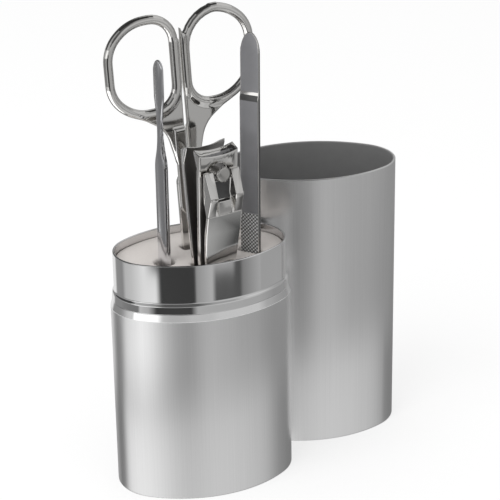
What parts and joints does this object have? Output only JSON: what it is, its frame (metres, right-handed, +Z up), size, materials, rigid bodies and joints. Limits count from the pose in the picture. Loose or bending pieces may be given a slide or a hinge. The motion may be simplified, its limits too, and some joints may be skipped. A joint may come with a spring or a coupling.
{
  "type": "manicure set case",
  "caption": "Oval metal manicure case standing open: base with polished neck and slotted tray for scissors, nail clipper, file and cuticle pusher, lift-off cap beside it.",
  "frame": {"origin": "middle of the base's foot, on the surface it stands on", "axes": "+Z up, X along the oval's long axis, +Y to the back of the case"},
  "size_m": [0.0891, 0.0544, 0.1319],
  "materials": {
    "case_metal": "satin, with soft streaks along the height",
    "polished_sleeve": "mirror polished",
    "tray_plastic": "fine matt, cream grey",
    "tool_steel": "bright nickel plating",
    "screw_steel": "bright nickel plating"
  },
  "bodies": {
    "case": {"base_shell": "case_metal", "neck_sleeve": "polished_sleeve", "holder_tray": "tray_plastic"},
    "cap": {"cap_shell": "case_metal"},
    "scissors": {"scissor_blade_right": "tool_steel", "scissor_screw": "screw_steel"},
    "scissor_swing": {"scissor_blade_left": "tool_steel"},
    "clipper": {"clipper_lower_arm": "tool_steel", "clipper_pin": "screw_steel", "clipper_rivet": "screw_steel"},
    "clipper_press": {"clipper_upper_arm": "tool_steel"},
    "clipper_tilt": {"clipper_lever": "tool_steel"},
    "file": {"nail_file": "tool_steel"},
    "pusher": {"cuticle_pusher": "tool_steel"}
  },
  "joints": [
    {"name": "cap_lift", "type": "slide", "parent": "case", "child": "cap", "axis": [0, 0, 1], "range_m": [0, 0.1]},
    {"name": "scissors_lift", "type": "slide", "parent": "case", "child": "scissors", "axis": [-0.0519, -0.0066, 0.9986], "range_m": [0, 0.1]},
    {"name": "scissors_open", "type": "hinge", "parent": "scissors", "child": "scissor_swing", "pos_m": [-0.00068, 0.0045, 0.08078], "axis": [0.1264, -0.992, 0], "range_deg": [0, 28]},
    {"name": "clipper_lift", "type": "slide", "parent": "case", "child": "clipper", "axis": [0, 0, 1], "range_m": [0, 0.1]},
    {"name": "clipper_close", "type": "hinge", "parent": "clipper", "child": "clipper_press", "pos_m": [0.00057, -0.00825, 0.0538], "axis": [-0.9659, -0.2588, 0], "range_deg": [0, 4.1], "stiffness_Nm_per_rad": 0.5},
    {"name": "lever_tilt", "type": "hinge", "parent": "clipper", "child": "clipper_tilt", "pos_m": [0.00157, -0.01197, 0.0848], "axis": [-0.9659, -0.2588, 0], "range_deg": [0, 1.8]},
    {"name": "file_lift", "type": "slide", "parent": "case", "child": "file", "axis": [0.0062, -0.0074, 1], "range_m": [0, 0.1]},
    {"name": "pusher_lift", "type": "slide", "parent": "case", "child": "pusher", "axis": [0, 0, 1], "range_m": [0, 0.1]}
  ]
}
